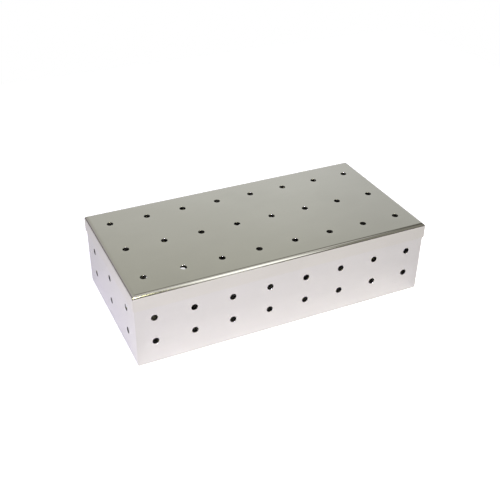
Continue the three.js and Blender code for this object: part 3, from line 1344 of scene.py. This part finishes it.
@dataclass(frozen=True)
class TentCloth:
    """The tent's cloth: pale low at the back, dark at the right and above the back, grey elsewhere, lit high up.

    Attributes:
        seam: The azimuth at which the count of degrees starts again.
        dim: The back's brightness towards the right, as a share.
        glow_azimuth: The middle of the narrow glow low in front.
        glow_width: Its width.
        strip_azimuth: The middle of the long strip of light.
        strip_elevation: The height of that middle.
        strip_lean: How far the strip leans from upright.
        strip_halves: Half its width and half its length, as sines.
        strip_edges: How soft its sides and its ends are.
    """

    seam: float = -60.0
    dim: float = 0.83
    glow_azimuth: float = 160.7
    glow_width: float = 2.95
    strip_azimuth: float = 149.4
    strip_elevation: float = 47.5
    strip_lean: float = -19.6
    strip_halves: tuple[float, float] = (0.045, 0.391)
    strip_edges: tuple[float, float] = (0.098, 0.02)

    def colour(self, w: NodeWriter, way: bpy.types.NodeSocket) -> bpy.types.NodeSocket:
        """Paints the cloth.

        Args:
            w: The writer of the tent's material.
            way: The direction from the case.

        Returns:
            The colour.
        """
        split = w.add("ShaderNodeSeparateXYZ", {0: way}).outputs
        elevation = w.maths("MULTIPLY", w.maths("ARCSINE", split[2]), 180 / math.pi)
        half_turn = w.maths("MULTIPLY", w.maths("ARCTAN2", split[0], split[1]), 180 / math.pi)
        azimuth = w.maths("FLOORED_MODULO", w.maths("ADD", half_turn, -self.seam), 360.0)
        azimuth = w.maths("SUBTRACT", azimuth, -self.seam)
        ahead = w.blend(w.ramp(azimuth, *Turn.RIGHT_TO_FRONT.value), Shade.RIGHT.value, Shade.FRONT.value)
        glow = w.maths("DIVIDE", w.maths("SUBTRACT", azimuth, self.glow_azimuth), self.glow_width)
        glow = w.maths("EXPONENT", w.maths("MULTIPLY", w.maths("POWER", glow, 2.0), -1.0))
        near_floor = w.blend(glow, Shade.FRONT_LOW.value, Shade.GLOW.value)
        low = w.ramp(elevation, *Turn.FRONT_DOWN.value)
        low = w.maths("MULTIPLY", low, w.ramp(azimuth, *Turn.FRONT_LOW_STARTS.value))
        base = w.blend(low, ahead, near_floor)
        base = w.blend(w.ramp(elevation, *Turn.TO_OVERHEAD.value), base, Shade.OVERHEAD.value)
        base = w.blend(self.strip(w, way), base, Shade.STRIP.value)
        left = w.blend(w.ramp(elevation, *Turn.LEFT_DOWN.value), Shade.LEFT.value, Shade.LEFT_LOW.value)
        pale = w.blend(w.ramp(azimuth, *Turn.LEFT_TO_BACK.value), left, Shade.BACK.value)
        behind = w.blend(w.ramp(elevation, *Turn.BACK_DOWN.value), Shade.BACK_HIGH.value, pale)
        dimmed = w.add("ShaderNodeVectorMath", {0: behind}, operation="SCALE")
        w.feed(dimmed.inputs["Scale"], w.ramp(azimuth, *Turn.BACK_DIMS.value, 1.0, self.dim))
        back = w.maths("MULTIPLY", w.ramp(azimuth, *Turn.BACK_ENDS.value), w.ramp(elevation, *Turn.BACK_TOP.value))
        return w.blend(back, base, dimmed.outputs[0])

    def strip(self, w: NodeWriter, way: bpy.types.NodeSocket) -> bpy.types.NodeSocket:
        """Marks a long, soft-edged strip of light on the tent, leaning a little.

        Args:
            w: The writer of the tent's material.
            way: The direction from the case.

        Returns:
            1 inside the strip and 0 outside it.
        """
        middle = direction(self.strip_azimuth, self.strip_elevation)
        rise = direction(self.strip_azimuth, self.strip_elevation + 90.0)
        lean = math.radians(self.strip_lean)
        along = rise * math.cos(lean) + middle.cross(rise) * math.sin(lean)
        masks = []
        for axis, half, soft in zip((middle.cross(along), along), self.strip_halves, self.strip_edges):
            dot = w.add("ShaderNodeVectorMath", {0: way, 1: tuple(axis)}, operation="DOT_PRODUCT").outputs["Value"]
            masks.append(w.ramp(w.maths("ABSOLUTE", dot), half + soft, half))
        facing = w.add("ShaderNodeVectorMath", {0: way, 1: tuple(middle)}, operation="DOT_PRODUCT").outputs["Value"]
        return w.maths("MULTIPLY", w.maths("MULTIPLY", *masks), w.maths("GREATER_THAN", facing, 0.0))


@dataclass
class Studio:
    """A plain white floor inside a grey tent, with soft lamps and the photograph's camera.

    Attributes:
        eye: The camera's place.
        back: The direction from what it looks at back to the camera.
        up: The picture's upward direction.
        lens: The focal length, in millimetres on the sensor.
        sensor: The sensor's width, in millimetres.
        clip: The nearest and the furthest that the camera sees.
        floor_size: The floor's length and width.
        floor_drop: How far the floor lies under the case's nominal underside, which the sheet's unevenness passes.
        floor_tone: The brightness of its paint.
        floor_glow: How bright it glows where the camera sees it.
        floor_mirrored: The share of that glow that metal and glass see.
        tent_radius: The tent's radius.
        tent_light: How bright the tent is as a source of light.
        sky_light: How bright the world is as a source of light.
        target: The point that the lamps face.
        cloth: The tent's cloth.
        lamps: The lamps.
    """

    eye: tuple[float, float, float] = (-195.742 * MM, -397.148 * MM, 312.027 * MM)
    back: tuple[float, float, float] = (-0.36772, -0.75729, 0.53972)
    up: tuple[float, float, float] = (0.22072, 0.49272, 0.84173)
    lens: float = 56.5166
    sensor: float = 36.0
    clip: tuple[float, float] = (0.01, 100.0)
    floor_size: float = 0.9
    floor_drop: float = 0.05 * MM
    floor_tone: float = 0.8
    floor_glow: float = 0.75
    floor_mirrored: float = 0.1
    tent_radius: float = 2.6
    tent_light: float = 0.12
    sky_light: float = 0.6
    target: tuple[float, float, float] = (0.0, 0.0, 25 * MM)
    cloth: TentCloth = TentCloth()
    lamps: tuple[SoftLamp, ...] = (
        SoftLamp("front_softbox", azimuth=184, elevation=40, distance=1.1, size=(0.4, 0.4), watts=6.2,
                 colour=(1.0, 1.0, 0.6)),
        SoftLamp("left_softbox", azimuth=-150, elevation=53, distance=1.0, size=(0.2, 0.2), watts=9.6,
                 colour=(0.813, 0.761, 1.0)),
    )

    def build(self) -> None:
        """Sets up the camera, the lamps, the floor, the tent and the world."""
        self._camera()
        for lamp in self.lamps:
            lamp.make(Vector(self.target))
        self._floor()
        self._tent()
        self._world()
        bpy.context.scene.view_settings.view_transform = "Standard"

    def _camera(self) -> None:
        """Makes the camera at the photograph's place."""
        data = bpy.data.cameras.new("photo_camera")
        data.lens, data.sensor_width, data.sensor_fit = self.lens, self.sensor, "HORIZONTAL"
        data.clip_start, data.clip_end = self.clip
        camera = bpy.data.objects.new("photo_camera", data)
        back = Vector(self.back).normalized()
        up = Vector(self.up)
        up = (up - back * up.dot(back)).normalized()
        turned = Matrix((up.cross(back), up, back)).transposed().to_4x4()
        camera.matrix_world = Matrix.Translation(self.eye) @ turned
        bpy.context.scene.collection.objects.link(camera)
        bpy.context.scene.camera = camera

    @staticmethod
    def _seen(w: NodeWriter, mirrored: float = 1.0) -> bpy.types.NodeSocket:
        """Marks the rays that see the studio.

        Args:
            w: The writer of a material or of the world.
            mirrored: The share for rays off metal and through glass.

        Returns:
            1 for rays from the camera, the share for rays off metal or through glass, and 0 for the rest.
        """
        path = w.add("ShaderNodeLightPath").outputs
        bounced = w.maths("MAXIMUM", path["Is Glossy Ray"], path["Is Transmission Ray"])
        return w.maths("MAXIMUM", path["Is Camera Ray"], w.maths("MULTIPLY", bounced, mirrored))

    def _floor(self) -> bpy.types.Object:
        """Makes the floor, which is white and keeps the case's soft shadow.

        Returns:
            The floor.
        """
        half = self.floor_size / 2
        mesh = bpy.data.meshes.new("studio_floor")
        mesh.from_pydata([(-half, -half, 0), (half, -half, 0), (half, half, 0), (-half, half, 0)], [], [(0, 1, 2, 3)])
        made = bpy.data.objects.new("studio_floor", mesh)
        made.location.z = -self.floor_drop
        bpy.context.scene.collection.objects.link(made)
        paint = bpy.data.materials.new("floor_white")
        paint.use_nodes = True
        paint.node_tree.nodes.clear()
        w = NodeWriter(paint.node_tree)
        matt = w.add("ShaderNodeBsdfDiffuse", {"Color": (self.floor_tone, self.floor_tone, self.floor_tone, 1.0)})
        glow = w.add("ShaderNodeEmission", {"Color": (1.0, 1.0, 1.0, 1.0)})
        w.feed(glow.inputs["Strength"], w.maths("MULTIPLY", self._seen(w, self.floor_mirrored), self.floor_glow))
        both = w.add("ShaderNodeAddShader", {0: matt.outputs[0], 1: glow.outputs[0]})
        w.add("ShaderNodeOutputMaterial", {"Surface": both.outputs[0]})
        mesh.materials.append(paint)
        return made

    def _tent(self) -> bpy.types.Object:
        """Makes the tent: a grey fabric dome that the metal mirrors, out of the camera's sight.

        Returns:
            The tent.
        """
        mesh = bpy.data.meshes.new("studio_tent")
        work = bmesh.new()
        bmesh.ops.create_uvsphere(work, u_segments=48, v_segments=24, radius=self.tent_radius)
        bmesh.ops.reverse_faces(work, faces=work.faces)
        work.to_mesh(mesh)
        work.free()
        made = bpy.data.objects.new("studio_tent", mesh)
        made.visible_camera = False
        bpy.context.scene.collection.objects.link(made)
        paint = bpy.data.materials.new("tent_grey")
        paint.use_nodes = True
        paint.node_tree.nodes.clear()
        w = NodeWriter(paint.node_tree)
        place = w.add("ShaderNodeTexCoord").outputs["Object"]
        way = w.add("ShaderNodeVectorMath", {0: place}, operation="NORMALIZE").outputs[0]
        strength = w.maths("MULTIPLY_ADD", self._seen(w), 1.0 - self.tent_light, self.tent_light)
        glow = w.add("ShaderNodeEmission", {"Color": self.cloth.colour(w, way), "Strength": strength})
        w.add("ShaderNodeOutputMaterial", {"Surface": glow.outputs[0]})
        mesh.materials.append(paint)
        return made

    def _world(self) -> None:
        """Makes the world white where it is seen, and plain pale light elsewhere."""
        world = bpy.data.worlds.new("studio_world")
        bpy.context.scene.world = world
        world.use_nodes = True
        world.node_tree.nodes.clear()
        w = NodeWriter(world.node_tree)
        strength = w.maths("MULTIPLY_ADD", self._seen(w), 1.0 - self.sky_light, self.sky_light)
        sky = w.add("ShaderNodeBackground", {"Color": (1.0, 1.0, 1.0, 1.0), "Strength": strength})
        w.add("ShaderNodeOutputWorld", {"Surface": sky.outputs[0]})


def tray() -> FoldedPan:
    """Sizes the open tray, perforated in its floor and its four walls.

    Returns:
        The tray.
    """
    low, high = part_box("tray")
    return FoldedPan(
        name="tray_shell",
        body="case_tray",
        length=high.x - low.x,
        width=high.y - low.y,
        height=high.z - low.z,
        bend_radius=2.0 * MM,
        floor_rows=Row(4, 25 * MM),
        rows_up=2,
        seed=11,
    )


def lid() -> FoldedPan:
    """Sizes the lid, perforated in its top, with a plain skirt.

    Returns:
        The lid.
    """
    low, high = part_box("lid")
    return FoldedPan(
        name="lid_shell",
        body="case_lid",
        length=high.x - low.x,
        width=high.y - low.y,
        height=high.z - low.z,
        bend_radius=2.3 * MM,
        nick_radius=1.2 * MM,
        flare=0.006,
        facing=Facing.DOWN,
        top=high.z,
        plain_rows=(3.9 * MM, 5.6 * MM, 7.2 * MM, 8.4 * MM, 9.3 * MM, 9.9 * MM),
        seed=47,
    )


def main() -> None:
    """Builds both pieces, dresses them and sets up the studio."""
    logging.basicConfig(level=logging.INFO, format="%(name)s: %(message)s")
    groups = FinishGroups()
    panels = PanelTree()
    finishes = {
        "tray": BrightSteel("bright_steel_tray"),
        # The lid's steel is yellower than the tray's: a painted tint that stands in for the warmer light mirrored in
        # the lid's top and skirt.
        "lid": BrightSteel("bright_steel_lid", colour=(0.655, 0.640, 0.597)),
    }
    for node, pan in (("tray", tray()), ("lid", lid())):
        shell = pan.build(panels, finishes[node].make(groups))
        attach(shell, pan.body)
        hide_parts(node)
        LOG.info("%s: %d faces, rides on %s", shell.name, len(shell.data.polygons), pan.body)
    Studio().build()


if __name__ == "__main__":
    main()
